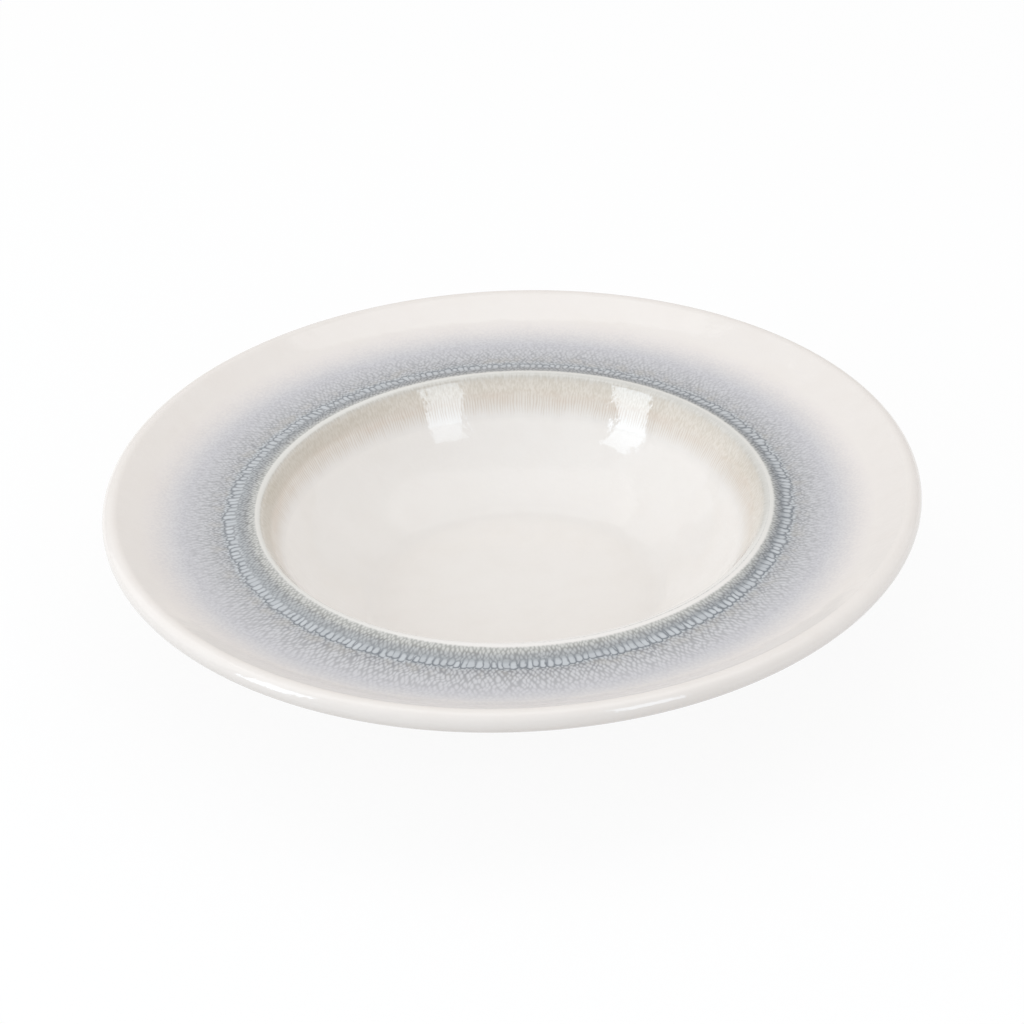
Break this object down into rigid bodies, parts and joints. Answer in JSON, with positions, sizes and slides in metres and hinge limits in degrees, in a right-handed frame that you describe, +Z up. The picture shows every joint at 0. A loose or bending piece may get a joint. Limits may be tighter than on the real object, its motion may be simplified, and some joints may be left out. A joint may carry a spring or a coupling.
{
  "type": "pasta plate",
  "caption": "Wide-rimmed glazed stoneware pasta plate with a deep round well, raised lip, dished rim with a rolled edge, and a foot ring, for serving pasta, soup or salad.",
  "frame": {"origin": "centre of the foot ring's bearing face, on the table", "axes": "+Z up along the plate's axis of revolution; X and Y lie on the table"},
  "size_m": [0.28, 0.28, 0.057],
  "materials": {
    "clay": "bare fired stoneware, matt and slightly rough",
    "cream_glaze": "glossy warm-white glaze with faint ripples",
    "sand_glaze": "glossy sand-coloured reactive glaze with fine downward streaks",
    "blue_glaze": "glossy blue-grey reactive glaze broken into small pale cells"
  },
  "bodies": {
    "root": {"stoneware_body": "clay", "well_glaze": "cream_glaze", "sand_band_glaze": "sand_glaze", "blue_band_glaze": "blue_glaze", "rim_glaze": "cream_glaze", "base_glaze": "cream_glaze"}
  },
  "joints": []
}
